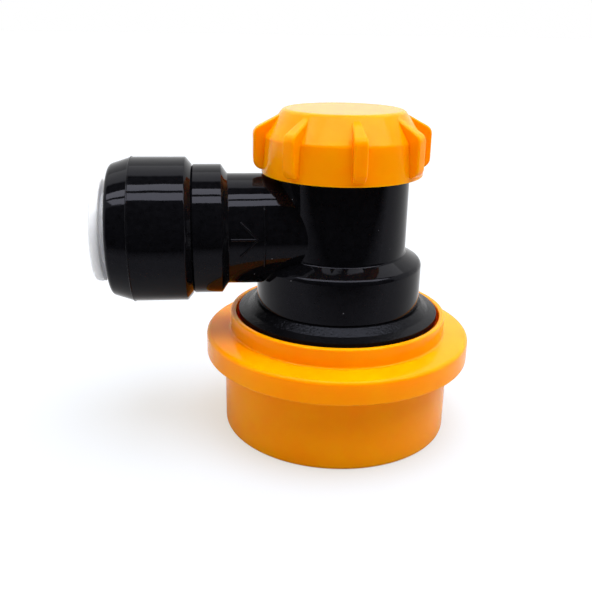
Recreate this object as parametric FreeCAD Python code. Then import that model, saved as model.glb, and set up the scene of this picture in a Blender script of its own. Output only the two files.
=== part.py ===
import FreeCAD, Part
import math
import os

# A ball lock disconnect: the quick coupling that joins an 8 mm push-in tube to a keg post.
# Lengths are in millimetres. Z is the axis of the keg post, and Z = 0 is the mouth of the
# bore that seals on the post. The tube arm runs along -X, and its stations are measured
# out from the post axis.

# Keg post socket
SEAL_BORE_R = 7.8
SEAL_BORE_L = 6.0
SEAL_LEAD_L = 1.4
SOCKET_PLAY = 1.4
SOCKET_R = SEAL_BORE_R + SOCKET_PLAY
SOCKET_DEPTH = 12.0
SKIRT_FOOT_Z = -SOCKET_DEPTH
FOOT_LEAD = 0.6
NOSE_LEDGE_W = 0.8
NOSE_RECESS_L = 1.4

# Housing outside
SKIRT_WALL = 2.0
SKIRT_R = SOCKET_R + SKIRT_WALL
BODY_STEP = 0.45
BODY_R = SKIRT_R + BODY_STEP
BODY_BOTTOM_Z = 6.35
BODY_L = 6.15
BODY_TOP_Z = BODY_BOTTOM_Z + BODY_L
BODY_TOP_EDGE = 0.9
BODY_FOOT_EDGE = 0.2
SHOULDER_L = 1.3
BARREL_FOOT_Z = BODY_TOP_Z + SHOULDER_L
BARREL_ROOT = 0.4
CHAMBER_R = 6.6
CHAMBER_LEAD = 0.5
BARREL_WALL = 2.7
BARREL_R = CHAMBER_R + BARREL_WALL
THREAD_DEPTH = 0.4
THREAD_R = BARREL_R - THREAD_DEPTH
THREAD_L = 4.0
BARREL_RIM_EDGE = 0.4

# Tube and its arm
TUBE_R = 4.0
TUBE_PLAY = 0.15
TUBE_WALL = 1.1
TUBE_STOP_WALL = 1.7
TUBE_STOP_S = BARREL_R + TUBE_STOP_WALL
TUBE_BORE_L = 4.4
TUBE_SEAL_WIRE = 1.0
SEAL_CHAMBER_R = TUBE_R + 2 * TUBE_SEAL_WIRE
SEAL_SLACK = 0.05
SPACER_L = 1.5
SPACER_PLAY = 0.3
RETAINER_TOOTH_GAP = 0.45
SPIGOT_WALL = 2.0
SPIGOT_R = SEAL_CHAMBER_R + SPIGOT_WALL
ARM_Z = 16.9
ARM_STEP = 0.4
ARM_R = SPIGOT_R - ARM_STEP
ARM_END_S = 15.75
ARM_EDGE = 0.2
BAND_STEP = 0.85
BAND_R = SPIGOT_R + BAND_STEP
BAND_SLOPE_L = 0.85
BAND_L = 4.8
BAND_END_S = ARM_END_S + BAND_L
BAND_EDGE = 0.25
SPIGOT_L = 5.45
SPIGOT_END_S = BAND_END_S + SPIGOT_L
SNAP_GROOVE_L = 1.0
SNAP_GROOVE_S = SPIGOT_END_S - 2 * SNAP_GROOVE_L
SNAP_DEPTH = 0.3

# Grip ring with teeth that bite the tube
TOOTH_BITE = 0.05
TOOTH_L = 1.85
TOOTH_TIP_R = TUBE_R - TOOTH_BITE
TOOTH_ROOT_R = TOOTH_TIP_R + TOOTH_L
TOOTH_RING_INSET = 0.4
TOOTH_RING_T = 0.35
TOOTH_REACH = 0.95
TOOTH_COUNT = 12
TOOTH_SLOT_W = 0.7

# Release collet
COLLET_TRAVEL = 0.8
COLLET_PLAY = 0.2
COLLET_BORE_R = TUBE_R + COLLET_PLAY
COLLET_WALL = 0.9
COLLET_SLEEVE_R = COLLET_BORE_R + COLLET_WALL
COLLET_BEAD_H = 0.7
COLLET_BEAD_L = 1.0
COLLET_STOP_GAP = 0.1
COLLET_FLANGE_W = 1.7
COLLET_FLANGE_T = 1.25
COLLET_FLANGE_EDGE = 0.5
COLLET_SLOT_W = 0.8
COLLET_SLOT_L = 3.6
COLLET_SLOTS = 4
COLLET_TIP_S = SPIGOT_END_S + COLLET_TRAVEL + COLLET_PLAY

# Arm end cap
END_CAP_FIT = 0.05
END_CAP_STEP = 1.0
END_CAP_R = BAND_R + END_CAP_STEP
END_CAP_CHAMFER = 0.8
END_CAP_EDGE = 0.25
END_CAP_L = 8.0
END_CAP_CONE_S = BAND_END_S + END_CAP_L
END_CAP_CONE_L = 3.05
END_CAP_END_S = END_CAP_CONE_S + END_CAP_CONE_L
END_CAP_TAPER = 1.0
END_CAP_FACE_EDGE = 0.8
PARTING_BEAD_R = 0.12
PARTING_BEAD_H = 0.08
COLLET_HOLE_R = COLLET_SLEEVE_R + COLLET_PLAY
COLLET_POCKET_WALL = 0.8
COLLET_POCKET_S = SPIGOT_END_S + TOOTH_RING_T + END_CAP_FIT + COLLET_POCKET_WALL
COLLET_POCKET_L = COLLET_BEAD_L + COLLET_TRAVEL + 6 * END_CAP_FIT
COLLET_POCKET_R = COLLET_SLEEVE_R + COLLET_BEAD_H + 2 * COLLET_PLAY

# Valve: a sprung plunger that closes a hole in the deck above the post
DECK_BOTTOM_Z = SEAL_BORE_L + NOSE_RECESS_L
DECK_L = 1.8
DECK_TOP_Z = DECK_BOTTOM_Z + DECK_L
DECK_HOLE_R = 2.6
VALVE_SEAL_WIRE = 0.6
VALVE_SEAL_LAND = 0.4
VALVE_SEAL_R = DECK_HOLE_R + VALVE_SEAL_LAND + VALVE_SEAL_WIRE
VALVE_SEAL_GAP = 0.03
PLUNGER_NOSE_DROP = 0.7
PLUNGER_NOSE_Z = DECK_BOTTOM_Z - PLUNGER_NOSE_DROP
PLUNGER_STEM_R = 1.4
PLUNGER_FIN_W = 0.8
PLUNGER_FIN_GAP = 0.12
PLUNGER_SEAL_GAP = 0.1
PLUNGER_HEAD_LIP = 0.4
PLUNGER_HEAD_L = 1.4
PLUNGER_HEAD_TOP_Z = DECK_TOP_Z + VALVE_SEAL_GAP + 2 * VALVE_SEAL_WIRE + PLUNGER_HEAD_L
PLUNGER_GUIDE_L = 2.4
PLUNGER_TIP_R = 1.5
PLUNGER_TIP_L = 4.2
VALVE_SPRING_WIRE = 0.5
VALVE_SPRING_TURNS = 6.0
SPRING_GUIDE_GAP = 0.55
PLUNGER_GUIDE_R = 2.7
VALVE_SPRING_R = PLUNGER_GUIDE_R + SPRING_GUIDE_GAP + VALVE_SPRING_WIRE / 2
SPRING_END_GAP = 0.02

# Screw cap
CAP_ARM_GAP = 0.3
CAP_BOTTOM_Z = ARM_Z + ARM_R + CAP_ARM_GAP
CAP_THREAD_GAP = 0.2
CAP_WALL = 1.55
CAP_SKIRT_R = BARREL_R + CAP_THREAD_GAP + CAP_WALL
CAP_SKIRT_L = 4.9
CAP_DRAFT = 0.35
CAP_SHOULDER_R = CAP_SKIRT_R - CAP_DRAFT
CAP_SHOULDER_Z = CAP_BOTTOM_Z + CAP_SKIRT_L
CAP_SHOULDER_EDGE = 0.9
CAP_CONE_RUN = 2.5
CAP_CONE_L = 3.6
CAP_TOP_R = CAP_SHOULDER_R - CAP_CONE_RUN
CAP_TOP_Z = CAP_SHOULDER_Z + CAP_CONE_L
CAP_TOP_EDGE = 0.9
CAP_COVER_L = 0.3
CAP_SEAT_GAP = 0.15
BARREL_TOP_Z = CAP_BOTTOM_Z + THREAD_L
THREAD_STEP_Z = CAP_BOTTOM_Z + CAP_COVER_L
CAP_SPIGOT_GAP = 0.1
CAP_SPIGOT_R = CHAMBER_R - CAP_SPIGOT_GAP
CAP_SPIGOT_NOSE = 2.2
CAP_CROWN_T = 2.7
CAP_POCKET_TOP_Z = CAP_TOP_Z - CAP_CROWN_T
CAP_POCKET_GAP = 0.65
CAP_POCKET_R = VALVE_SPRING_R + VALVE_SPRING_WIRE / 2 + CAP_POCKET_GAP
CAP_SEAL_WIRE = 0.65
CAP_SEAL_DROP = 4.0
CAP_SEAL_Z = BARREL_TOP_Z - CAP_SEAL_DROP
CAP_SEAL_SLACK = 0.05
CAP_SEAL_R = CHAMBER_R - CAP_SEAL_SLACK - CAP_SEAL_WIRE
CAP_RIBS = 8
CAP_RIB_ANGLE = 8.6
CAP_RIB_TURN = 2.1
CAP_RIB_REACH = 1.2
CAP_RIB_R = CAP_SKIRT_R + CAP_RIB_REACH
CAP_RIB_FOOT = 0.5
CAP_RIB_RISE = 1.0
CAP_RIB_END_DROP = 0.45
CAP_RIB_ROOT = 1.0
CAP_RIB_CORNER = 1.3
CAP_RIB_EDGE = 0.3

# Locking balls
BALL_R = 1.75
BALL_COUNT = 6
BALL_Z = -3.9
BALL_REACH = 1.1
BALL_LOCKED_R = SOCKET_R - BALL_REACH + BALL_R
BALL_SEAT_GAP = 0.05

# Lock collar, which slides down the skirt and holds the balls in
COLLAR_LIFT = 3.2
BALL_RAMP_GAP = 0.1
LAND_R = BALL_LOCKED_R + BALL_R + BALL_RAMP_GAP
RELIEF_R = LAND_R + BALL_REACH + BALL_RAMP_GAP
LIP_GAP = 0.2
LIP_R = SKIRT_R + LIP_GAP
LIP_FOOT_L = 1.6
LIP_BOTTOM_Z = SKIRT_FOOT_Z + LIP_FOOT_L
LIP_T = 1.4
COUNTERBORE_W = 2.0
COUNTERBORE_R = LIP_R + COUNTERBORE_W
SPRING_SPACE = 3.5
RIM_BORE_R = SKIRT_R + SPRING_SPACE
RIM_WALL = 0.8
RIM_R = RIM_BORE_R + RIM_WALL
RIM_TOP_Z = 4.8
RIM_EDGE = 0.25
RIM_ROOT = 0.3
RIM_INSET = 0.85
COLLAR_R = RIM_R + RIM_INSET
COLLAR_FOOT_DROP = 0.4
COLLAR_FOOT_Z = SKIRT_FOOT_Z - COLLAR_FOOT_DROP
COLLAR_FOOT_EDGE = 0.5
FLANGE_REACH = 2.65
FLANGE_R = COLLAR_R + FLANGE_REACH
FLANGE_BOTTOM_Z = -1.5
FLANGE_T = 3.4
FLANGE_TOP_Z = FLANGE_BOTTOM_Z + FLANGE_T
FLANGE_TOP_SLOPE = 0.07
FLANGE_TOP_EDGE = 0.6
FLANGE_FOOT_EDGE = 0.35
LEDGE_DROP = 1.0
LEDGE_Z = FLANGE_BOTTOM_Z - LEDGE_DROP

# Collar spring and the ring that carries its upper end
SEAT_RING_GAP = 0.05
SEAT_RING_PLAY = 0.4
SEAT_RING_R = RIM_BORE_R - SEAT_RING_PLAY
SEAT_RING_T = 2.15
SEAT_RING_BOTTOM_Z = BODY_BOTTOM_Z - SEAT_RING_T
SEAT_LIP_W = 0.35
SEAT_CONE_H = 0.85
SEAT_CONE_RUN = 1.05
SEAT_EDGE_DROP = 0.4
COLLAR_SPRING_WIRE = 0.6
COLLAR_SPRING_GAP = 1.3
COLLAR_SPRING_R = SKIRT_R + COLLAR_SPRING_GAP + COLLAR_SPRING_WIRE / 2
COLLAR_SPRING_TURNS = 3.5

# Retaining ring at the skirt's foot
RETAINER_GROOVE_D = 0.5
RETAINER_GROOVE_R = SKIRT_R - RETAINER_GROOVE_D
RETAINER_GROOVE_W = 1.0
RETAINING_RING_W = 0.9
RETAINING_RING_R = LIP_R + RETAINING_RING_W
RETAINING_RING_GAP = 0.05
RETAINING_RING_OPEN = 40.0

ORIGIN = FreeCAD.Vector(0, 0, 0)
UP = FreeCAD.Vector(0, 0, 1)
CUT_PAST = 1.0
NEAR = 0.01


def lathe(points, degrees=360.0):
    """A solid turned about Z from a closed outline of (radius, height) points."""
    corners = [FreeCAD.Vector(r, 0, z) for r, z in points]
    face = Part.Face(Part.makePolygon(corners + corners[:1]))
    return face.revolve(ORIGIN, UP, degrees)


def disc(radius, z0, z1):
    return Part.makeCylinder(radius, z1 - z0, FreeCAD.Vector(0, 0, z0))


def ring(inner, outer, z0, z1):
    return disc(outer, z0, z1).cut(disc(inner, z0 - CUT_PAST, z1 + CUT_PAST))


def round_edges(shape, size, *places):
    """Round the circular edges at the given (radius, height) places."""
    edges = []
    for edge in shape.Edges:
        if isinstance(edge.Curve, Part.Circle):
            centre, radius = edge.Curve.Center, edge.Curve.Radius
            if any(abs(radius - r) < NEAR and abs(centre.z - z) < NEAR for r, z in places):
                edges.append(edge)
    return shape.makeFillet(size, edges)


def turned(shape, degrees):
    copy = shape.copy()
    copy.rotate(ORIGIN, UP, degrees)
    return copy


def around(shape, count, start=0.0):
    """Copies of a shape spread evenly about Z."""
    return [turned(shape, start + 360.0 * k / count) for k in range(count)]


def on_arm(shape):
    """Lay a shape that was built up along Z out along the arm's axis."""
    shape.rotate(ORIGIN, FreeCAD.Vector(0, 1, 0), -90)
    shape.translate(FreeCAD.Vector(0, 0, ARM_Z))
    return shape


def coil(radius, wire, turns, z0, z1):
    """A coil spring of half turns: each is a tilted half ring that runs on from the one before."""
    low = z0 + wire / 2
    rise = (z1 - z0 - wire) / round(2 * turns)
    half_turns = []
    for k in range(round(2 * turns)):
        side = 1 if k % 2 == 0 else -1
        start = FreeCAD.Vector(side * radius, 0, low + k * rise)
        middle = FreeCAD.Vector(0, 0, low + (k + 0.5) * rise)
        section = Part.Face(Part.Wire([Part.Circle(start, FreeCAD.Vector(0, 1, 0), wire / 2).toShape()]))
        axis = (start - middle).cross(FreeCAD.Vector(0, side, 0))
        half_turns.append(section.revolve(middle, axis, 180))
    return half_turns[0].fuse(half_turns[1:])


def radial_hole(radius, start, z, degrees):
    """A cutter along a radius of the post axis, from a start radius outwards."""
    hole = Part.makeCylinder(radius, SKIRT_R, FreeCAD.Vector(start, 0, z), FreeCAD.Vector(1, 0, 0))
    return turned(hole, degrees)


def housing_outside():
    body = lathe([
        (0, SKIRT_FOOT_Z), (SKIRT_R, SKIRT_FOOT_Z), (SKIRT_R, BODY_BOTTOM_Z),
        (BODY_R, BODY_BOTTOM_Z), (BODY_R, BODY_TOP_Z), (BARREL_R, BARREL_FOOT_Z),
        (BARREL_R, THREAD_STEP_Z), (THREAD_R, THREAD_STEP_Z),
        (THREAD_R, BARREL_TOP_Z - BARREL_RIM_EDGE), (THREAD_R - BARREL_RIM_EDGE, BARREL_TOP_Z),
        (0, BARREL_TOP_Z)])
    body = round_edges(body, BODY_TOP_EDGE, (BODY_R, BODY_TOP_Z))
    body = round_edges(body, BARREL_ROOT, (BARREL_R, BARREL_FOOT_Z))
    body = round_edges(body, BODY_FOOT_EDGE, (BODY_R, BODY_BOTTOM_Z))
    groove_end = SNAP_GROOVE_S + SNAP_GROOVE_L
    band_start = ARM_END_S + BAND_SLOPE_L
    arm = lathe([
        (0, 0), (ARM_R, 0), (ARM_R, ARM_END_S), (BAND_R, band_start),
        (BAND_R, BAND_END_S - BAND_EDGE), (BAND_R - BAND_EDGE, BAND_END_S),
        (SPIGOT_R, BAND_END_S), (SPIGOT_R, SNAP_GROOVE_S), (SPIGOT_R - SNAP_DEPTH, SNAP_GROOVE_S),
        (SPIGOT_R - SNAP_DEPTH, groove_end), (SPIGOT_R, groove_end), (SPIGOT_R, SPIGOT_END_S),
        (0, SPIGOT_END_S)])
    arm = round_edges(arm, ARM_EDGE, (ARM_R, ARM_END_S), (BAND_R, band_start))
    return body.fuse(on_arm(arm))


def make_housing():
    nose_r = SEAL_BORE_R - NOSE_LEDGE_W
    post_side = lathe([
        (0, SKIRT_FOOT_Z - CUT_PAST), (SOCKET_R + FOOT_LEAD, SKIRT_FOOT_Z - CUT_PAST),
        (SOCKET_R + FOOT_LEAD, SKIRT_FOOT_Z), (SOCKET_R, SKIRT_FOOT_Z + FOOT_LEAD),
        (SOCKET_R, -SEAL_LEAD_L), (SEAL_BORE_R, 0), (SEAL_BORE_R, SEAL_BORE_L),
        (nose_r, SEAL_BORE_L), (nose_r, DECK_BOTTOM_Z), (0, DECK_BOTTOM_Z)])
    valve_side = lathe([
        (0, DECK_TOP_Z), (CHAMBER_R, DECK_TOP_Z), (CHAMBER_R, BARREL_TOP_Z - CHAMBER_LEAD),
        (CHAMBER_R + CHAMBER_LEAD, BARREL_TOP_Z), (CHAMBER_R + CHAMBER_LEAD, BARREL_TOP_Z + CUT_PAST),
        (0, BARREL_TOP_Z + CUT_PAST)])
    tube_mouth_s = TUBE_STOP_S + TUBE_BORE_L
    tube_bore_r = TUBE_R + TUBE_PLAY
    passage_r = TUBE_R - TUBE_WALL
    arm_inside = lathe([
        (0, 0), (passage_r, 0), (passage_r, TUBE_STOP_S), (tube_bore_r, TUBE_STOP_S),
        (tube_bore_r, tube_mouth_s), (SEAL_CHAMBER_R, tube_mouth_s),
        (SEAL_CHAMBER_R, SPIGOT_END_S + CUT_PAST), (0, SPIGOT_END_S + CUT_PAST)])
    cutters = [
        post_side, valve_side, on_arm(arm_inside),
        disc(DECK_HOLE_R, DECK_BOTTOM_Z - CUT_PAST, DECK_TOP_Z + CUT_PAST),
        ring(RETAINER_GROOVE_R, SKIRT_R + CUT_PAST, LIP_BOTTOM_Z - RETAINER_GROOVE_W, LIP_BOTTOM_Z)]
    seat_r = BALL_R + BALL_SEAT_GAP
    for k in range(BALL_COUNT):
        angle = ball_angle(k)
        cutters.append(radial_hole(seat_r, BALL_LOCKED_R, BALL_Z, angle))
        cutters.append(turned(Part.makeSphere(seat_r, FreeCAD.Vector(BALL_LOCKED_R, 0, BALL_Z)), angle))
    return housing_outside().cut(cutters)


def ball_angle(k):
    """The balls are spread evenly, with none in line with the arm."""
    return (k + 0.5) * 360.0 / BALL_COUNT


def make_ball(k):
    return turned(Part.makeSphere(BALL_R, FreeCAD.Vector(BALL_LOCKED_R, 0, BALL_Z)), ball_angle(k))


def make_plunger():
    boss_bottom = DECK_TOP_Z + VALVE_SEAL_GAP
    boss_r = VALVE_SEAL_R - VALVE_SEAL_WIRE - PLUNGER_SEAL_GAP
    head_r = VALVE_SEAL_R + VALVE_SEAL_WIRE + PLUNGER_HEAD_LIP
    head_bottom = PLUNGER_HEAD_TOP_Z - PLUNGER_HEAD_L
    guide_top = PLUNGER_HEAD_TOP_Z + PLUNGER_GUIDE_L
    tip_top = guide_top + PLUNGER_TIP_L
    body = lathe([
        (0, PLUNGER_NOSE_Z), (PLUNGER_STEM_R, PLUNGER_NOSE_Z), (PLUNGER_STEM_R, boss_bottom),
        (boss_r, boss_bottom), (boss_r, head_bottom), (head_r, head_bottom), (head_r, PLUNGER_HEAD_TOP_Z),
        (PLUNGER_GUIDE_R, PLUNGER_HEAD_TOP_Z), (PLUNGER_TIP_R, guide_top), (PLUNGER_TIP_R, tip_top),
        (0, tip_top)])
    fin_reach = DECK_HOLE_R - PLUNGER_FIN_GAP
    fin_h = boss_bottom - PLUNGER_NOSE_Z
    blade = Part.makeBox(2 * fin_reach, PLUNGER_FIN_W, fin_h,
                         FreeCAD.Vector(-fin_reach, -PLUNGER_FIN_W / 2, PLUNGER_NOSE_Z))
    fins = blade.fuse(turned(blade, 90)).common(disc(fin_reach, PLUNGER_NOSE_Z, boss_bottom))
    return body.fuse(fins).removeSplitter()


def make_plunger_seal():
    z = DECK_TOP_Z + VALVE_SEAL_GAP + VALVE_SEAL_WIRE
    return Part.makeTorus(VALVE_SEAL_R, VALVE_SEAL_WIRE, FreeCAD.Vector(0, 0, z), UP)


def make_valve_spring():
    return coil(VALVE_SPRING_R, VALVE_SPRING_WIRE, VALVE_SPRING_TURNS,
                PLUNGER_HEAD_TOP_Z + SPRING_END_GAP, CAP_POCKET_TOP_Z - SPRING_END_GAP)


def make_cap_seal():
    return Part.makeTorus(CAP_SEAL_R, CAP_SEAL_WIRE, FreeCAD.Vector(0, 0, CAP_SEAL_Z), UP)


def make_cap_rib():
    """One grip rib: a thin wedge that stands on the cap's skirt and narrows towards its top."""
    inner_r = CAP_SKIRT_R - CAP_WALL / 2
    foot_z = CAP_BOTTOM_Z + CAP_RIB_FOOT
    bend_z = CAP_SHOULDER_Z + CAP_RIB_RISE
    end_z = CAP_TOP_Z - CAP_RIB_END_DROP
    root_r = CAP_TOP_R - CAP_RIB_ROOT
    rib = lathe([(inner_r, foot_z), (CAP_RIB_R, foot_z), (CAP_RIB_R, bend_z), (CAP_TOP_R, end_z),
                 (root_r, end_z), (root_r, CAP_SHOULDER_Z), (inner_r, CAP_SHOULDER_Z)], CAP_RIB_ANGLE)
    rib = round_edges(rib, CAP_RIB_CORNER, (CAP_RIB_R, foot_z), (CAP_RIB_R, bend_z))
    sides = [e for e in rib.Edges if all(abs(math.hypot(v.X, v.Y) - CAP_RIB_R) < NEAR for v in e.Vertexes)
             and abs(e.Vertexes[0].Z - e.Vertexes[-1].Z) > NEAR]
    return turned(rib.makeFillet(CAP_RIB_EDGE, sides), -CAP_RIB_ANGLE / 2)


def make_cap():
    ceiling_z = BARREL_TOP_Z + CAP_SEAT_GAP
    thread_r = THREAD_R + CAP_THREAD_GAP
    mouth_r = BARREL_R + CAP_THREAD_GAP
    mouth_top = THREAD_STEP_Z + CAP_COVER_L
    groove_r = CAP_SEAL_R - CAP_SEAL_WIRE - CAP_SEAL_SLACK
    groove_low = CAP_SEAL_Z - CAP_SEAL_WIRE - CAP_SEAL_SLACK
    groove_high = CAP_SEAL_Z + CAP_SEAL_WIRE + CAP_SEAL_SLACK
    nose_z = CAP_SEAL_Z - CAP_SPIGOT_NOSE
    shell = lathe([
        (0, CAP_TOP_Z), (CAP_TOP_R, CAP_TOP_Z), (CAP_SHOULDER_R, CAP_SHOULDER_Z),
        (CAP_SKIRT_R, CAP_BOTTOM_Z), (mouth_r, CAP_BOTTOM_Z), (mouth_r, mouth_top),
        (thread_r, mouth_top), (thread_r, ceiling_z),
        (CAP_SPIGOT_R, ceiling_z), (CAP_SPIGOT_R, groove_high), (groove_r, groove_high),
        (groove_r, groove_low), (CAP_SPIGOT_R, groove_low), (CAP_SPIGOT_R, nose_z),
        (CAP_POCKET_R, nose_z), (CAP_POCKET_R, CAP_POCKET_TOP_Z), (0, CAP_POCKET_TOP_Z)])
    shell = round_edges(shell, CAP_TOP_EDGE, (CAP_TOP_R, CAP_TOP_Z))
    shell = round_edges(shell, CAP_SHOULDER_EDGE, (CAP_SHOULDER_R, CAP_SHOULDER_Z))
    return shell.fuse(around(make_cap_rib(), CAP_RIBS, CAP_RIB_TURN)).removeSplitter()


def land_bottom_z():
    """Where the collar's locking land meets the ramp that lets the balls move outwards."""
    slope = BALL_REACH / COLLAR_LIFT
    ramp_r = BALL_LOCKED_R + (BALL_R + BALL_RAMP_GAP) * math.hypot(1, slope)
    return BALL_Z + (ramp_r - LAND_R) / slope


def make_collar():
    lip_top = LIP_BOTTOM_Z + LIP_T
    ramp_bottom_z = land_bottom_z() - (RELIEF_R - LAND_R) * COLLAR_LIFT / BALL_REACH
    rim_foot_z = FLANGE_TOP_Z + (FLANGE_R - RIM_R) * FLANGE_TOP_SLOPE
    collar = lathe([
        (COUNTERBORE_R, COLLAR_FOOT_Z), (COLLAR_R, COLLAR_FOOT_Z), (COLLAR_R, FLANGE_BOTTOM_Z),
        (FLANGE_R, FLANGE_BOTTOM_Z), (FLANGE_R, FLANGE_TOP_Z), (RIM_R, rim_foot_z), (RIM_R, RIM_TOP_Z),
        (RIM_BORE_R, RIM_TOP_Z), (RIM_BORE_R, LEDGE_Z), (LAND_R, LEDGE_Z), (LAND_R, land_bottom_z()),
        (RELIEF_R, ramp_bottom_z), (RELIEF_R, lip_top), (LIP_R, lip_top), (LIP_R, LIP_BOTTOM_Z),
        (COUNTERBORE_R, LIP_BOTTOM_Z)])
    collar = round_edges(collar, FLANGE_TOP_EDGE, (FLANGE_R, FLANGE_TOP_Z))
    collar = round_edges(collar, FLANGE_FOOT_EDGE, (FLANGE_R, FLANGE_BOTTOM_Z))
    collar = round_edges(collar, RIM_EDGE, (RIM_R, RIM_TOP_Z), (RIM_BORE_R, RIM_TOP_Z))
    collar = round_edges(collar, RIM_ROOT, (RIM_R, rim_foot_z), (COLLAR_R, FLANGE_BOTTOM_Z))
    return round_edges(collar, COLLAR_FOOT_EDGE, (COLLAR_R, COLLAR_FOOT_Z))


def make_collar_spring():
    return coil(COLLAR_SPRING_R, COLLAR_SPRING_WIRE, COLLAR_SPRING_TURNS,
                LEDGE_Z + SPRING_END_GAP, SEAT_RING_BOTTOM_Z - SPRING_END_GAP)


def make_spring_seat_ring():
    """The ring under the housing's body: a lip, a cone and a thin brim inside the collar's rim."""
    bore_r = SKIRT_R + SEAT_RING_GAP
    lip_r = BODY_R + SEAT_LIP_W
    cone_r = lip_r + SEAT_CONE_RUN
    cone_z = BODY_BOTTOM_Z - SEAT_CONE_H
    return lathe([
        (bore_r, SEAT_RING_BOTTOM_Z), (SEAT_RING_R, SEAT_RING_BOTTOM_Z),
        (SEAT_RING_R, cone_z - SEAT_EDGE_DROP), (cone_r, cone_z), (lip_r, BODY_BOTTOM_Z),
        (bore_r, BODY_BOTTOM_Z)])


def make_retaining_ring():
    low = LIP_BOTTOM_Z - RETAINER_GROOVE_W + RETAINING_RING_GAP
    high = LIP_BOTTOM_Z - RETAINING_RING_GAP
    bore_r = RETAINER_GROOVE_R + RETAINING_RING_GAP
    clip = lathe([(bore_r, low), (RETAINING_RING_R, low), (RETAINING_RING_R, high), (bore_r, high)],
                 360.0 - RETAINING_RING_OPEN)
    return turned(clip, RETAINING_RING_OPEN / 2)


def tube_seal_stations():
    """Start stations of the inner seal, the spacer, the outer seal and the seal retainer."""
    inner = TUBE_STOP_S + TUBE_BORE_L + SEAL_SLACK
    spacer = inner + 2 * TUBE_SEAL_WIRE + SEAL_SLACK
    outer = spacer + SPACER_L + SEAL_SLACK
    retainer = outer + 2 * TUBE_SEAL_WIRE + SEAL_SLACK
    return inner, spacer, outer, retainer


def make_tube_seal(start):
    centre_r = SEAL_CHAMBER_R - SEAL_SLACK - TUBE_SEAL_WIRE
    centre = FreeCAD.Vector(0, 0, start + TUBE_SEAL_WIRE)
    return on_arm(Part.makeTorus(centre_r, TUBE_SEAL_WIRE, centre, UP))


def make_seal_spacer(start, end):
    return on_arm(ring(TUBE_R + SPACER_PLAY, SEAL_CHAMBER_R - SEAL_SLACK, start, end))


def make_grip_ring():
    """The toothed washer that bites the tube: its teeth lean in towards the tube stop."""
    high = SPIGOT_END_S + TOOTH_RING_T
    outer_r = SPIGOT_R - TOOTH_RING_INSET
    blank = lathe([
        (TOOTH_ROOT_R, SPIGOT_END_S), (TOOTH_TIP_R, SPIGOT_END_S - TOOTH_REACH),
        (TOOTH_TIP_R, high - TOOTH_REACH), (TOOTH_ROOT_R, high),
        (outer_r, high), (outer_r, SPIGOT_END_S)])
    slot = Part.makeBox(TOOTH_ROOT_R, TOOTH_SLOT_W, TOOTH_REACH + 2 * CUT_PAST,
                        FreeCAD.Vector(0, -TOOTH_SLOT_W / 2, SPIGOT_END_S - TOOTH_REACH - CUT_PAST))
    return on_arm(blank.cut(around(slot, TOOTH_COUNT)))


def make_arm_end_cap():
    """The cap over the arm's end: it snaps into the spigot's groove and keeps the collet in."""
    bore_r = SPIGOT_R + END_CAP_FIT
    seat_s = SPIGOT_END_S + TOOTH_RING_T + END_CAP_FIT
    rib_r = SPIGOT_R - SNAP_DEPTH + END_CAP_FIT
    rib_start = SNAP_GROOVE_S + END_CAP_FIT
    rib_end = SNAP_GROOVE_S + SNAP_GROOVE_L - END_CAP_FIT
    pocket_end = COLLET_POCKET_S + COLLET_POCKET_L
    face_r = END_CAP_R - END_CAP_TAPER
    chamfer_end = BAND_END_S + END_CAP_CHAMFER
    cap = lathe([
        (bore_r, BAND_END_S), (BAND_R, BAND_END_S), (END_CAP_R, chamfer_end),
        (END_CAP_R, END_CAP_CONE_S), (face_r, END_CAP_END_S), (COLLET_HOLE_R, END_CAP_END_S),
        (COLLET_HOLE_R, pocket_end), (COLLET_POCKET_R, pocket_end), (COLLET_POCKET_R, COLLET_POCKET_S),
        (COLLET_HOLE_R, COLLET_POCKET_S), (COLLET_HOLE_R, seat_s), (bore_r, seat_s),
        (bore_r, rib_end), (rib_r, rib_end), (rib_r, rib_start), (bore_r, rib_start)])
    cap = round_edges(cap, END_CAP_FACE_EDGE, (face_r, END_CAP_END_S))
    cap = round_edges(cap, END_CAP_EDGE, (END_CAP_R, chamfer_end), (COLLET_HOLE_R, END_CAP_END_S))
    parting_bead = Part.makeTorus(END_CAP_R + PARTING_BEAD_H - PARTING_BEAD_R, PARTING_BEAD_R,
                                  FreeCAD.Vector(0, 0, END_CAP_CONE_S), UP)
    return on_arm(cap.fuse(parting_bead))


def make_collet():
    bead_end = COLLET_POCKET_S + COLLET_POCKET_L - END_CAP_FIT
    bead_start = bead_end - COLLET_BEAD_L
    bead_r = COLLET_SLEEVE_R + COLLET_BEAD_H
    flange_r = COLLET_HOLE_R + COLLET_FLANGE_W
    flange_start = END_CAP_END_S + COLLET_TRAVEL + COLLET_STOP_GAP
    face = flange_start + COLLET_FLANGE_T
    body = lathe([
        (COLLET_BORE_R, COLLET_TIP_S), (COLLET_SLEEVE_R, COLLET_TIP_S), (COLLET_SLEEVE_R, bead_start),
        (bead_r, bead_start), (bead_r, bead_end), (COLLET_SLEEVE_R, bead_end),
        (COLLET_SLEEVE_R, flange_start), (flange_r, flange_start), (flange_r, face),
        (COLLET_BORE_R, face)])
    body = round_edges(body, COLLET_FLANGE_EDGE, (flange_r, face), (COLLET_BORE_R, face))
    slot = Part.makeBox(bead_r + CUT_PAST, COLLET_SLOT_W, COLLET_SLOT_L + CUT_PAST,
                        FreeCAD.Vector(0, -COLLET_SLOT_W / 2, COLLET_TIP_S - CUT_PAST))
    return on_arm(body.cut(around(slot, COLLET_SLOTS, 180.0 / COLLET_SLOTS)))


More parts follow.
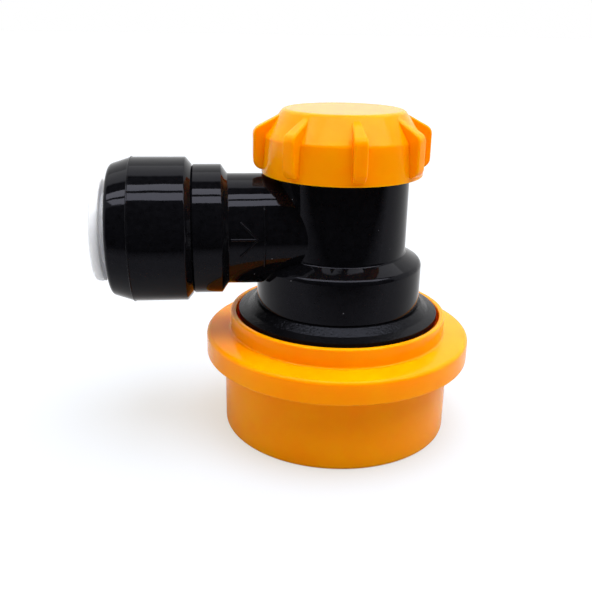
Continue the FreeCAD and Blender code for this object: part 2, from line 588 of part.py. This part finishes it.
def build_nodes():
    inner, spacer, outer, retainer = tube_seal_stations()
    nodes = {
        "housing": make_housing(),
        "arm_end_cap": make_arm_end_cap(),
        "tube_seal_inner": make_tube_seal(inner),
        "seal_spacer": make_seal_spacer(spacer, spacer + SPACER_L),
        "tube_seal_outer": make_tube_seal(outer),
        "seal_retainer": make_seal_spacer(retainer, SPIGOT_END_S - TOOTH_REACH - RETAINER_TOOTH_GAP),
        "grip_ring": make_grip_ring(),
        "release_collet": make_collet(),
        "top_cap": make_cap(),
        "cap_seal": make_cap_seal(),
        "valve_plunger": make_plunger(),
        "plunger_seal": make_plunger_seal(),
        "valve_spring": make_valve_spring(),
        "lock_collar": make_collar(),
        "collar_spring": make_collar_spring(),
        "spring_seat_ring": make_spring_seat_ring(),
        "retaining_ring": make_retaining_ring(),
    }
    for k in range(BALL_COUNT):
        nodes["lock_ball_%d" % (k + 1)] = make_ball(k)
    return nodes


def main():
    os.makedirs("parts", exist_ok=True)
    for name, shape in build_nodes().items():
        shape.exportStep("parts/%s.step" % name)
        print("%-18s valid %s volume %.2f" % (name, shape.isValid(), shape.Volume))


main()
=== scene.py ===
import math

import bpy
from mathutils import Matrix, Vector


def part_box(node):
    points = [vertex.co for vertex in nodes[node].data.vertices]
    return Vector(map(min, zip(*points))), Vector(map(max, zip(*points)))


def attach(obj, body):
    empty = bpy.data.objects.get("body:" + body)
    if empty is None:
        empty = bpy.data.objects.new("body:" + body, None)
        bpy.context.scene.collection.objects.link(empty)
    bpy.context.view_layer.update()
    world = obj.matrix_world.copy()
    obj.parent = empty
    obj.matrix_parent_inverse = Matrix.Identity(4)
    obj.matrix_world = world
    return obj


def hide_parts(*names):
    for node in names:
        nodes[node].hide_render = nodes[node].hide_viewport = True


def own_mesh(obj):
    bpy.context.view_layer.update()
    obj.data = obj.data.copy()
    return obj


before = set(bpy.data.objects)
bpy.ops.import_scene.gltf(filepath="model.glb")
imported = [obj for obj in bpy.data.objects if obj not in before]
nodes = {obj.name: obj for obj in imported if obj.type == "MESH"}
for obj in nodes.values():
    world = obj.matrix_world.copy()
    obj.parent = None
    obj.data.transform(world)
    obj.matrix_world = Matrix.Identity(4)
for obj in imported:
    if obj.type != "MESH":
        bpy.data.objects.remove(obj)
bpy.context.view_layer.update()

# Looks of a ball lock disconnect: black moulded body, orange collar and screw cap, white collet.
# Blender works in metres, and the sizes here are in millimetres times MM.
MM = 0.001

# Camera, as the photograph was taken, with its angles in degrees
LENS_MM = 46.8
SENSOR_MM = 36.0
CAMERA_MM = (-16.7, -104.4, 44.3)
CAMERA_YAW = -5.82
CAMERA_PITCH = 19.72
CAMERA_ROLL = 0.9
NEAR_CLIP = 5 * MM
FAR_CLIP = 10.0

# Places read from the frame
FOOT_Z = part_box("lock_collar")[0].z
ARM_Z = (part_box("arm_end_cap")[0].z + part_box("arm_end_cap")[1].z) / 2
SPRING_LOW, SPRING_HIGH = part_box("collar_spring")
VALVE_LOW, VALVE_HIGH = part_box("valve_spring")


def linear(code):
    """A linear colour with alpha from an sRGB hex value."""
    parts = [int(code[i:i + 2], 16) / 255 for i in (1, 3, 5)]
    return tuple(c / 12.92 if c <= 0.04045 else ((c + 0.055) / 1.055) ** 2.4 for c in parts) + (1.0,)


def add(tree, kind, inputs=None, **settings):
    """Add a node with its settings; an input is a constant or the socket that feeds it."""
    node = tree.nodes.new(kind)
    for name, value in settings.items():
        setattr(node, name, value)
    for name, value in (inputs or {}).items():
        if isinstance(value, bpy.types.NodeSocket):
            tree.links.new(value, node.inputs[name])
        else:
            node.inputs[name].default_value = value
    return node


def per_metre(size_mm):
    """The scale of a noise whose marks are about this many millimetres across."""
    return 1.0 / (size_mm * MM)


def new_material(name):
    """A material with an empty tree, and the socket of the place that its patterns follow."""
    material = bpy.data.materials.new(name)
    material.use_nodes = True
    tree = material.node_tree
    tree.nodes.clear()
    place = add(tree, "ShaderNodeTexCoord").outputs["Object"]
    return material, tree, place


def close_material(tree, shader):
    add(tree, "ShaderNodeOutputMaterial", {"Surface": shader.outputs[0]})


def colour_steps(tree, value, steps):
    """A colour ramp between two (position, hex colour) steps."""
    ramp = add(tree, "ShaderNodeValToRGB", {"Fac": value})
    for element, (position, code) in zip(ramp.color_ramp.elements, steps):
        element.position = position
        element.color = linear(code)
    return ramp.outputs["Color"]


# The share of a speck's radius that has its full colour
SPECK_CORE = 0.6


def specks(tree, place, spacing_mm, radius_mm, colour, code):
    """A colour with sparse specks of another, such as dust or char in the resin."""
    cells = add(tree, "ShaderNodeTexVoronoi", {"Vector": place, "Scale": per_metre(spacing_mm)})
    edge = radius_mm / spacing_mm
    core = edge * SPECK_CORE
    mark = add(tree, "ShaderNodeMapRange", {
        "Value": cells.outputs["Distance"], "From Min": core, "From Max": edge,
        "To Min": 1.0, "To Max": 0.0})
    mixed = add(tree, "ShaderNodeMix", {
        "Factor": mark.outputs["Result"], "A": colour, "B": linear(code)}, data_type="RGBA")
    return mixed.outputs["Result"]


def moulded_black_acetal():
    """Acetal from a polished mould: near black, with a wet gloss that wavers a little and pale dust."""
    material, tree, place = new_material("moulded_black_acetal")
    flow = add(tree, "ShaderNodeTexNoise", {"Vector": place, "Scale": per_metre(6), "Detail": 2.0})
    skin = add(tree, "ShaderNodeTexNoise", {"Vector": place, "Scale": per_metre(0.7), "Detail": 4.0})
    gloss = add(tree, "ShaderNodeMapRange", {"Value": flow.outputs["Fac"], "To Min": 0.03, "To Max": 0.07})
    wave = add(tree, "ShaderNodeBump", {
        "Height": flow.outputs["Fac"], "Strength": 0.10, "Distance": 0.4 * MM})
    fine = add(tree, "ShaderNodeBump", {
        "Height": skin.outputs["Fac"], "Strength": 0.05, "Distance": 0.03 * MM,
        "Normal": wave.outputs["Normal"]})
    colour = colour_steps(tree, skin.outputs["Fac"], [(0.3, "#070709"), (0.7, "#0C0C0F")])
    colour = specks(tree, place, spacing_mm=2.5, radius_mm=0.09, colour=colour, code="#6E6E74")
    shader = add(tree, "ShaderNodeBsdfPrincipled", {
        "Base Color": colour, "Roughness": gloss.outputs["Result"], "IOR": 1.38,
        "Specular IOR Level": 0.17, "Specular Tint": linear("#E8E9FF"), "Normal": fine.outputs["Normal"]})
    close_material(tree, shader)
    return material


def moulded_orange_acetal():
    """Dyed acetal lets light in a little way, so its shade goes to deep orange and not to brown."""
    material, tree, place = new_material("moulded_orange_acetal")
    cloud = add(tree, "ShaderNodeTexNoise", {"Vector": place, "Scale": per_metre(5), "Detail": 3.0})
    grain = add(tree, "ShaderNodeTexNoise", {"Vector": place, "Scale": per_metre(0.25), "Detail": 3.0})
    colour = colour_steps(tree, cloud.outputs["Fac"], [(0.3, "#FF9100"), (0.7, "#FF9B00")])
    colour = specks(tree, place, spacing_mm=6.0, radius_mm=0.12, colour=colour, code="#9A4A08")
    gloss = add(tree, "ShaderNodeMapRange", {"Value": grain.outputs["Fac"], "To Min": 0.13, "To Max": 0.22})
    dimple = add(tree, "ShaderNodeBump", {
        "Height": grain.outputs["Fac"], "Strength": 0.12, "Distance": 0.03 * MM})
    shader = add(tree, "ShaderNodeBsdfPrincipled", {
        "Base Color": colour, "Roughness": gloss.outputs["Result"], "IOR": 1.2,
        "Specular IOR Level": 0.8, "Specular Tint": linear("#FFD08A"),
        "Subsurface Weight": 0.6, "Subsurface Radius": (1.0, 0.35, 0.05), "Subsurface Scale": 2.2 * MM,
        "Normal": dimple.outputs["Normal"]})
    close_material(tree, shader)
    return material


def grained_black_nylon():
    """Filled nylon with a finely pitted skin; the pits are drawn as coarse as they need to show."""
    material, tree, place = new_material("grained_black_nylon")
    pits = add(tree, "ShaderNodeTexNoise", {"Vector": place, "Scale": per_metre(0.3), "Detail": 3.0})
    dull = add(tree, "ShaderNodeMapRange", {"Value": pits.outputs["Fac"], "To Min": 0.14, "To Max": 0.26})
    rough = add(tree, "ShaderNodeBump", {
        "Height": pits.outputs["Fac"], "Strength": 0.8, "Distance": 0.1 * MM})
    shader = add(tree, "ShaderNodeBsdfPrincipled", {
        "Base Color": colour_steps(tree, pits.outputs["Fac"], [(0.3, "#060607"), (0.75, "#0C0C0F")]),
        "Roughness": dull.outputs["Result"], "IOR": 1.4, "Specular IOR Level": 0.12,
        "Specular Tint": linear("#E0E6FF"), "Normal": rough.outputs["Normal"]})
    close_material(tree, shader)
    return material


def moulded_white_acetal():
    """Undyed acetal is milky and slightly blue, with a soft satin skin."""
    material, tree, place = new_material("moulded_white_acetal")
    cloud = add(tree, "ShaderNodeTexNoise", {"Vector": place, "Scale": per_metre(4), "Detail": 2.0})
    skin = add(tree, "ShaderNodeTexNoise", {"Vector": place, "Scale": per_metre(0.3), "Detail": 3.0})
    satin = add(tree, "ShaderNodeMapRange", {"Value": skin.outputs["Fac"], "To Min": 0.3, "To Max": 0.4})
    shader = add(tree, "ShaderNodeBsdfPrincipled", {
        "Base Color": colour_steps(tree, cloud.outputs["Fac"], [(0.3, "#DADCE3"), (0.7, "#E3E5EA")]),
        "Roughness": satin.outputs["Result"], "IOR": 1.48,
        "Subsurface Weight": 0.9, "Subsurface Radius": (1.0, 0.95, 0.9), "Subsurface Scale": 3.0 * MM})
    close_material(tree, shader)
    return material


def moulded_seal_rubber():
    """Nitrile rubber from a steel mould, dull black with a faint sheen."""
    material, tree, place = new_material("moulded_seal_rubber")
    bloom = add(tree, "ShaderNodeTexNoise", {"Vector": place, "Scale": per_metre(0.5), "Detail": 3.0})
    dull = add(tree, "ShaderNodeMapRange", {"Value": bloom.outputs["Fac"], "To Min": 0.5, "To Max": 0.7})
    shader = add(tree, "ShaderNodeBsdfPrincipled", {
        "Base Color": colour_steps(tree, bloom.outputs["Fac"], [(0.3, "#0C0C0C"), (0.7, "#161616")]),
        "Roughness": dull.outputs["Result"], "IOR": 1.52})
    close_material(tree, shader)
    return material


def drawn_stainless_wire():
    """Stainless steel drawn through a die, with fine streaks along the wire."""
    material, tree, place = new_material("drawn_stainless_wire")
    streak = add(tree, "ShaderNodeTexNoise", {"Vector": place, "Scale": per_metre(0.3), "Detail": 5.0})
    gloss = add(tree, "ShaderNodeMapRange", {"Value": streak.outputs["Fac"], "To Min": 0.18, "To Max": 0.34})
    shader = add(tree, "ShaderNodeBsdfPrincipled", {
        "Base Color": colour_steps(tree, streak.outputs["Fac"], [(0.3, "#A9A8A5"), (0.7, "#C6C5C2")]),
        "Metallic": 1.0, "Roughness": gloss.outputs["Result"]})
    close_material(tree, shader)
    return material


def lapped_stainless_ball():
    """A bearing ball's lapped steel: a mirror with only faint haze."""
    material, tree, place = new_material("lapped_stainless_ball")
    haze = add(tree, "ShaderNodeTexNoise", {"Vector": place, "Scale": per_metre(0.4), "Detail": 2.0})
    gloss = add(tree, "ShaderNodeMapRange", {"Value": haze.outputs["Fac"], "To Min": 0.05, "To Max": 0.1})
    shader = add(tree, "ShaderNodeBsdfPrincipled", {
        "Base Color": linear("#CFCECC"), "Metallic": 1.0, "Roughness": gloss.outputs["Result"]})
    close_material(tree, shader)
    return material


BLACK = moulded_black_acetal()
ORANGE = moulded_orange_acetal()
GRAINED = grained_black_nylon()
WHITE = moulded_white_acetal()
RUBBER = moulded_seal_rubber()
WIRE = drawn_stainless_wire()
BALL_STEEL = lapped_stainless_ball()

FINISH = {
    "housing": BLACK, "arm_end_cap": BLACK, "spring_seat_ring": GRAINED, "seal_spacer": GRAINED,
    "seal_retainer": GRAINED, "release_collet": WHITE, "valve_plunger": WHITE, "top_cap": ORANGE,
    "lock_collar": ORANGE, "tube_seal_inner": RUBBER, "tube_seal_outer": RUBBER, "cap_seal": RUBBER,
    "plunger_seal": RUBBER, "grip_ring": WIRE, "retaining_ring": WIRE, "collar_spring": WIRE,
    "valve_spring": WIRE,
}
SOFT_EDGE_ANGLE = 28
CRISP_EDGE_ANGLE = 10
CRISP_NODES = {"spring_seat_ring"}
WELD_REACH = 0.0005 * MM


def finish_node(name, node):
    """Give a node of the frame its material and smooth its facets, keeping the real edges sharp."""
    material = FINISH.get(name, BALL_STEEL)
    node.data.materials.clear()
    node.data.materials.append(material)
    for face in node.data.polygons:
        face.use_smooth = True
        face.material_index = 0
    weld = node.modifiers.new("weld", "WELD")
    weld.merge_threshold = WELD_REACH
    split = node.modifiers.new("edges", "EDGE_SPLIT")
    split.split_angle = math.radians(CRISP_EDGE_ANGLE if name in CRISP_NODES else SOFT_EDGE_ANGLE)
    even = node.modifiers.new("even_normals", "WEIGHTED_NORMAL")
    even.mode = "FACE_AREA_WITH_ANGLE"
    even.keep_sharp = True


for node_name, node_object in nodes.items():
    finish_node(node_name, node_object)


def new_piece(name, verts, faces, material, body, smooth=True):
    """A mesh piece that rides on a body of the frame."""
    mesh = bpy.data.meshes.new(name)
    mesh.from_pydata(verts, [], faces)
    mesh.materials.append(material)
    for face in mesh.polygons:
        face.use_smooth = smooth
    piece = bpy.data.objects.new(name, mesh)
    bpy.context.scene.collection.objects.link(piece)
    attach(piece, body)
    return piece


def tube_along(points, tangents, radius, sides=12):
    """Rings of a round tube about points, closed by a fan at each end."""
    verts, faces = [], []
    for point, tangent in zip(points, tangents):
        side = tangent.cross(Vector((0, 0, 1))).normalized()
        up = side.cross(tangent).normalized()
        for k in range(sides):
            turn = 2 * math.pi * k / sides
            verts.append(point + radius * (math.cos(turn) * side + math.sin(turn) * up))
    for ring in range(len(points) - 1):
        for k in range(sides):
            a = ring * sides + k
            b = ring * sides + (k + 1) % sides
            faces.append((a, a + sides, b + sides, b))
    faces.append(tuple(range(sides)))
    faces.append(tuple(reversed(range(len(verts) - sides, len(verts)))))
    return verts, faces


WIRE_STEPS = 40
END_TURNS = 1.0
COLLAR_WIRE = 0.6 * MM
COLLAR_TURNS = 4.5
VALVE_WIRE = 0.5 * MM
VALVE_TURNS = 8


def wound_spring(name, node, low, high, wire, turns, body):
    """A compression spring with a closed turn at each end, in the space of its CAD node."""
    mean_r = (high.x - low.x - wire) / 2
    start, end = low.z + wire / 2, high.z - wire / 2
    open_turns = turns - 2 * END_TURNS
    open_rise = end - start - 2 * wire
    points = []
    for step in range(int(turns * WIRE_STEPS) + 1):
        wound = step / WIRE_STEPS
        rise = min(wound, END_TURNS) / END_TURNS * wire
        rise += min(max(wound - END_TURNS, 0), open_turns) / open_turns * open_rise
        rise += max(wound - END_TURNS - open_turns, 0) / END_TURNS * wire
        turn = 2 * math.pi * wound
        points.append(Vector((mean_r * math.cos(turn), mean_r * math.sin(turn), start + rise)))
    tangents = [(points[min(i + 1, len(points) - 1)] - points[max(i - 1, 0)]).normalized()
                for i in range(len(points))]
    verts, faces = tube_along(points, tangents, wire / 2)
    spring = new_piece(name, verts, faces, WIRE, body)
    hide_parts(node)
    return spring


collar_coil = wound_spring("collar_spring_coil", "collar_spring", SPRING_LOW, SPRING_HIGH, COLLAR_WIRE,
                           COLLAR_TURNS, "collar_spring")
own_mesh(collar_coil)
valve_coil = wound_spring("valve_spring_coil", "valve_spring", VALVE_LOW, VALVE_HIGH, VALVE_WIRE,
                          VALVE_TURNS, "housing")
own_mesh(valve_coil)

# Marks moulded on the arm; their middle lies MARK_RISE above the level of the arm's axis
ARM_R = 7.6 * MM
MARK_STATION = 11.0 * MM
MARK_WIDTH = 0.28 * MM
MARK_HEIGHT = 0.14 * MM
MARK_SPAN = 64
MARK_RISE = 0.35 * MM
ARROW_TAIL = 15.5 * MM
ARROW_TIP = 11.9 * MM
ARROW_BARB = 2.3 * MM
ARROW_WIDTH = 0.35 * MM
ARROW_HEIGHT = 0.13 * MM

# Each point is a share of a bead's half width across it, and a share of its height
BEAD_PROFILE = [(-1.0, -0.05), (-0.75, 0.6), (0.0, 1.0), (0.75, 0.6), (1.0, -0.05)]


def on_arm_skin(station, across, height):
    """A point over the arm's skin, by its station from the post's axis and its rise round the arm."""
    angle = (across + MARK_RISE) / ARM_R
    radius = ARM_R + height
    return Vector((-station, -radius * math.cos(angle), ARM_Z + radius * math.sin(angle)))


def raised_stroke(name, start, end, width, height, steps=24):
    """A low bead moulded on the arm's skin from one (station, across) place to another."""
    run = Vector((end[0] - start[0], end[1] - start[1]))
    side = Vector((-run.y, run.x)).normalized() * width / 2
    verts, faces = [], []
    for step in range(steps + 1):
        centre = Vector(start) + run * step / steps
        for offset, lift in BEAD_PROFILE:
            place = centre + side * offset
            verts.append(on_arm_skin(place.x, place.y, lift * height))
    count = len(BEAD_PROFILE)
    for step in range(steps):
        for k in range(count - 1):
            a = step * count + k
            faces.append((a, a + 1, a + 1 + count, a + count))
    faces.append(tuple(reversed(range(count))))
    faces.append(tuple(range(len(verts) - count, len(verts))))
    return new_piece(name, verts, faces, BLACK, "housing")


mark_reach = math.radians(MARK_SPAN) * ARM_R / 2
raised_stroke("tube_depth_mark", (MARK_STATION, -mark_reach), (MARK_STATION, mark_reach),
              MARK_WIDTH, MARK_HEIGHT)
raised_stroke("arrow_shaft", (ARROW_TAIL, 0), (ARROW_TIP, 0), ARROW_WIDTH, ARROW_HEIGHT)
for barb_name, direction in (("arrow_barb_upper", 1), ("arrow_barb_lower", -1)):
    raised_stroke(barb_name, (ARROW_TIP, 0), (ARROW_TIP + ARROW_BARB, direction * ARROW_BARB),
                  ARROW_WIDTH, ARROW_HEIGHT)

# Screw thread on the barrel, seen when the cap is unscrewed
THREAD_CORE_R = 8.9 * MM
THREAD_DEPTH = 0.17 * MM
THREAD_PITCH = 2.0 * MM
THREAD_WIDTH = 0.9 * MM
THREAD_START_Z = 25.8 * MM
THREAD_TURNS = 1.3
THREAD_STEPS = 96
THREAD_FADE = 12
THREAD_SINK = 0.03 * MM

# Each point is a share of the ridge's width across it, and a share of its depth
RIDGE_PROFILE = ((-0.5, -0.2), (-0.22, 1.0), (0.22, 1.0), (0.5, -0.2))


def barrel_thread():
    """A single-start helical ridge that fades out at both ends."""
    verts, faces = [], []
    steps = int(THREAD_STEPS * THREAD_TURNS)
    for step in range(steps + 1):
        share = step / steps
        turn = 2 * math.pi * THREAD_TURNS * share
        fade = min(1.0, THREAD_FADE * share, THREAD_FADE * (1 - share))
        middle = THREAD_START_Z + THREAD_PITCH * THREAD_TURNS * share
        for offset, lift in RIDGE_PROFILE:
            radius = THREAD_CORE_R + THREAD_DEPTH * lift * fade - THREAD_SINK * (1 - fade)
            z = middle + offset * THREAD_WIDTH
            verts.append(Vector((radius * math.cos(turn), radius * math.sin(turn), z)))
    count = len(RIDGE_PROFILE)
    for step in range(steps):
        for k in range(count - 1):
            a = step * count + k
            faces.append((a, a + 1, a + 1 + count, a + count))
    faces.append(tuple(reversed(range(count))))
    faces.append(tuple(range(len(verts) - count, len(verts))))
    return new_piece("barrel_thread", verts, faces, BLACK, "housing", smooth=False)


barrel_thread()

# Studio
FLOOR_SIZE = 6.0
LIGHT_HEIGHT = 0.5
LIGHT_WIDTH = 1.0
STRIP_GLOW = 9.0
BACK_GLOW = 1.8
SUN_LEVEL = 3.7
FILL_LEVEL = 1.35
CARD_BOUNCE = "#B0B0B0"
CARD_SEEN = "#7C8695"
CARD_GLOW = "#CCC6BB"
FLAG_START_Y = -46 * MM
FLAG_SOFT = 40 * MM
FLAG_REACH = 0.9
FLAG_DEPTH = 0.3
FLAG_TOP_ANGLE = 60
FLAG_CLEARANCE = 0.2 * MM
CEILING_LIFT = 10 * MM
SUN_DIRECTION = (-0.16, 0.14, -1.0)
SUN_SPREAD = 50
FILL_FULL_Y = 0.1

# The near and far edge of each overhead panel, in degrees up from the front
STRIP_FRONT_EDGES = (60, 72)
STRIP_BACK_EDGES = (76, 87)
CEILING_EDGES = (52, 103)
BACKDROP_EDGES = (105, 130)


def add_object(name, verts, faces, material):
    """A mesh that belongs to the studio and not to the object."""
    mesh = bpy.data.meshes.new(name)
    mesh.from_pydata(verts, [], faces)
    mesh.materials.append(material)
    thing = bpy.data.objects.new(name, mesh)
    bpy.context.scene.collection.objects.link(thing)
    return thing


def matt_white_card():
    """Matt card that bounces grey, and that the camera sees as white with a faint shadow."""
    material, tree, _ = new_material("matt_white_card")
    path = add(tree, "ShaderNodeLightPath")
    seen = path.outputs["Is Camera Ray"]
    tone = add(tree, "ShaderNodeMix", {
        "Factor": seen, "A": linear(CARD_BOUNCE), "B": linear(CARD_SEEN)}, data_type="RGBA")
    shader = add(tree, "ShaderNodeBsdfPrincipled", {
        "Base Color": tone.outputs["Result"], "Roughness": 0.9, "Specular IOR Level": 0.1,
        "Emission Color": linear(CARD_GLOW), "Emission Strength": seen})
    close_material(tree, shader)
    return material


def white_floor():
    half = FLOOR_SIZE / 2
    corners = [(-half, -half, FOOT_Z), (half, -half, FOOT_Z), (half, half, FOOT_Z), (-half, half, FOOT_Z)]
    add_object("floor", corners, [(0, 1, 2, 3)], matt_white_card())


def glowing_diffuser(glow):
    """The cloth of an overhead panel, evenly bright, or black where its glow is nought."""
    material, tree, _ = new_material("glowing_diffuser")
    shader = add(tree, "ShaderNodeEmission", {"Color": (1, 1, 1, 1), "Strength": glow})
    close_material(tree, shader)
    return material


def unlit_flag():
    """Black felt that fades out towards the object, so reflections of it have a soft edge."""
    material, tree, place = new_material("black_felt_flag")
    parts = add(tree, "ShaderNodeSeparateXYZ", {"Vector": place})
    fade = add(tree, "ShaderNodeMapRange", {
        "Value": parts.outputs["Y"], "From Min": FLAG_START_Y - FLAG_SOFT, "From Max": FLAG_START_Y,
        "To Min": 0.0, "To Max": 1.0})
    felt = add(tree, "ShaderNodeEmission", {"Color": (0, 0, 0, 1), "Strength": 0.0})
    clear = add(tree, "ShaderNodeBsdfTransparent")
    mixed = add(tree, "ShaderNodeMixShader", {"Fac": fade.outputs["Result"]})
    tree.links.new(felt.outputs[0], mixed.inputs[1])
    tree.links.new(clear.outputs[0], mixed.inputs[2])
    close_material(tree, mixed)
    return material


def only_in_reflections(thing):
    """Hide a panel from everything but glossy reflections."""
    thing.visible_camera = False
    thing.visible_diffuse = False
    thing.visible_shadow = False
    thing.visible_transmission = False


def overhead_strip(name, near_angle, far_angle, material, height=LIGHT_HEIGHT):
    """A long panel overhead, between two angles up from the front as seen from the object."""
    y0 = -height / math.tan(math.radians(near_angle))
    y1 = -height / math.tan(math.radians(far_angle))
    half = LIGHT_WIDTH / 2
    corners = [(-half, y0, height), (half, y0, height), (half, y1, height), (-half, y1, height)]
    only_in_reflections(add_object(name, corners, [(0, 1, 2, 3)], material))


def front_flag():
    """The dark room on the camera's side, which keeps the black plastic black."""
    low = FOOT_Z + FLAG_CLEARANCE
    high = low + FLAG_DEPTH * math.tan(math.radians(FLAG_TOP_ANGLE))
    corners = [(-FLAG_REACH, FLAG_START_Y, low), (FLAG_REACH, FLAG_START_Y, low),
               (FLAG_REACH, -FLAG_DEPTH, low), (-FLAG_REACH, -FLAG_DEPTH, low),
               (FLAG_REACH, -FLAG_DEPTH, high), (-FLAG_REACH, -FLAG_DEPTH, high)]
    only_in_reflections(add_object("front_flag", corners, [(0, 1, 2, 3), (3, 2, 4, 5)], unlit_flag()))


def sun(name, direction, level, spread):
    """A wide soft lamp that no reflection shows."""
    light = bpy.data.lights.new(name, "SUN")
    light.energy = level
    light.angle = math.radians(spread)
    lamp = bpy.data.objects.new(name, light)
    lamp.rotation_euler = Vector(direction).to_track_quat("-Z", "Y").to_euler()
    bpy.context.scene.collection.objects.link(lamp)
    lamp.visible_glossy = False


def white_world(fill):
    """White to the camera and in reflections; elsewhere a soft fill that fades out towards the front."""
    world = bpy.data.worlds.new("white_room")
    bpy.context.scene.world = world
    world.use_nodes = True
    tree = world.node_tree
    tree.nodes.clear()
    path = add(tree, "ShaderNodeLightPath")
    seen = add(tree, "ShaderNodeMath", {0: path.outputs["Is Camera Ray"],
                                        1: path.outputs["Is Glossy Ray"]}, operation="MAXIMUM")
    through = add(tree, "ShaderNodeMath", {0: seen.outputs[0],
                                           1: path.outputs["Is Transmission Ray"]}, operation="MAXIMUM")
    direction = add(tree, "ShaderNodeTexCoord").outputs["Generated"]
    parts = add(tree, "ShaderNodeSeparateXYZ", {"Vector": direction})
    soft = add(tree, "ShaderNodeMapRange", {
        "Value": parts.outputs["Y"], "From Min": -1.0, "From Max": FILL_FULL_Y,
        "To Min": 0.0, "To Max": fill})
    strength = add(tree, "ShaderNodeMapRange", {
        "Value": through.outputs[0], "To Min": soft.outputs["Result"], "To Max": 1.0})
    light = add(tree, "ShaderNodeBackground", {
        "Color": (1, 1, 1, 1), "Strength": strength.outputs["Result"]})
    add(tree, "ShaderNodeOutputWorld", {"Surface": light.outputs[0]})


def set_camera():
    data = bpy.data.cameras.new("camera")
    data.lens = LENS_MM
    data.sensor_width = SENSOR_MM
    data.clip_start = NEAR_CLIP
    data.clip_end = FAR_CLIP
    camera = bpy.data.objects.new("camera", data)
    camera.location = Vector(CAMERA_MM) * MM
    turn = Matrix.Rotation(math.radians(CAMERA_YAW), 3, "Z")
    tilt = Matrix.Rotation(math.radians(90 - CAMERA_PITCH), 3, "X")
    roll = Matrix.Rotation(math.radians(CAMERA_ROLL), 3, "Z")
    camera.rotation_euler = (turn @ tilt @ roll).to_euler()
    bpy.context.scene.collection.objects.link(camera)
    bpy.context.scene.camera = camera


white_floor()
white_world(FILL_LEVEL)
overhead_strip("strip_front", *STRIP_FRONT_EDGES, glowing_diffuser(STRIP_GLOW))
overhead_strip("strip_back", *STRIP_BACK_EDGES, glowing_diffuser(STRIP_GLOW))
overhead_strip("ceiling_flag", *CEILING_EDGES, glowing_diffuser(0.0), LIGHT_HEIGHT + CEILING_LIFT)
overhead_strip("backdrop_light", *BACKDROP_EDGES, glowing_diffuser(BACK_GLOW))
front_flag()
sun("overhead_sun", SUN_DIRECTION, SUN_LEVEL, SUN_SPREAD)
set_camera()

bpy.context.scene.view_settings.view_transform = "Standard"
